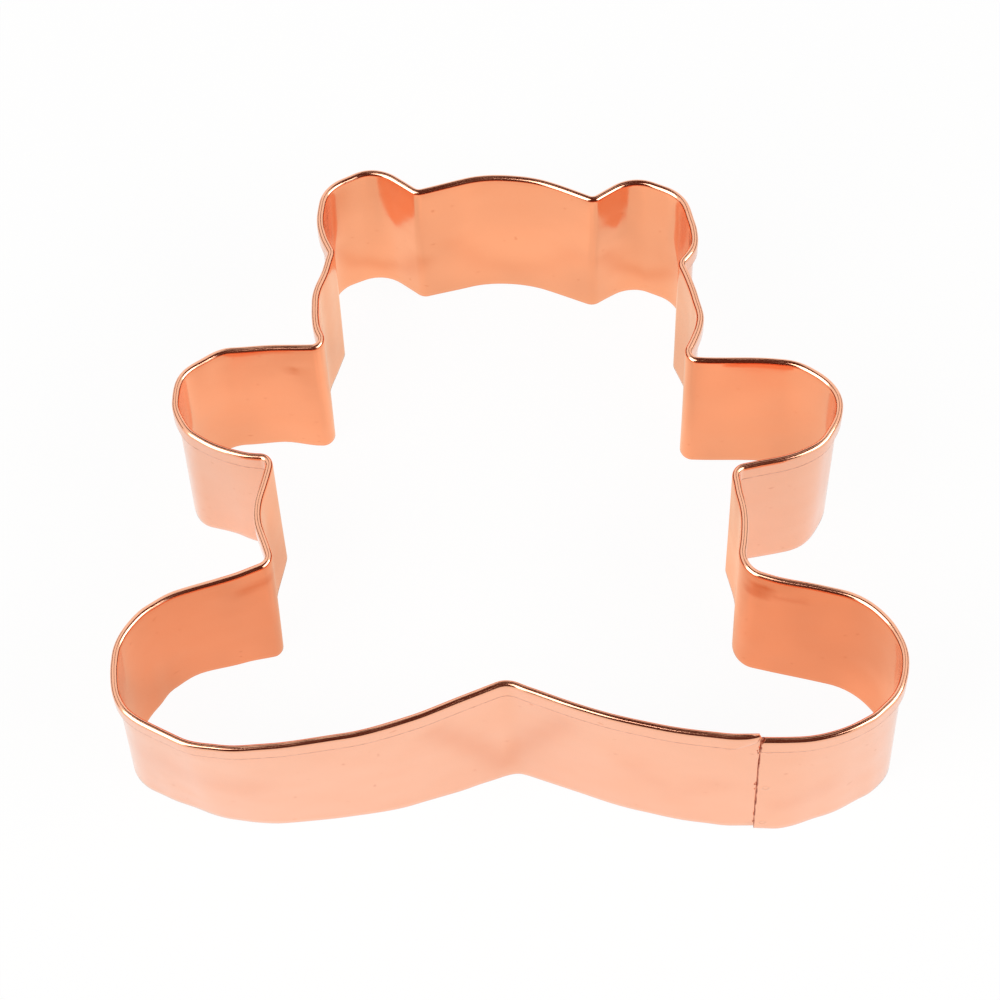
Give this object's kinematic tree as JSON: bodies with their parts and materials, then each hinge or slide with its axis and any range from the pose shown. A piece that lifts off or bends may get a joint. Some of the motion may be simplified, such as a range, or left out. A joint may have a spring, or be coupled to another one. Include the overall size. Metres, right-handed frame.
{
  "type": "cookie cutter",
  "caption": "Bent-strip pastry cutter in the outline of a sitting bear, with a hemmed rim, a plain cutting edge and a spot-welded lap seam.",
  "frame": {"origin": "on the surface that the cutting edge stands on, under the middle of the cutter's overall width and length", "axes": "+X from the left-hand foot to the right-hand foot, as seen from above with the feet nearest; +Y from the feet to the ears; +Z from the cutting edge up to the rim"},
  "size_m": [0.0914, 0.0766, 0.0254],
  "materials": {
    "copper_strip": null,
    "copper_weld": "resistance-welded copper, slightly duller than the sheet"
  },
  "bodies": {
    "root": {"cutter_strip": "copper_strip", "spot_weld_upper": "copper_weld", "spot_weld_middle": "copper_weld", "spot_weld_lower": "copper_weld"}
  },
  "joints": []
}
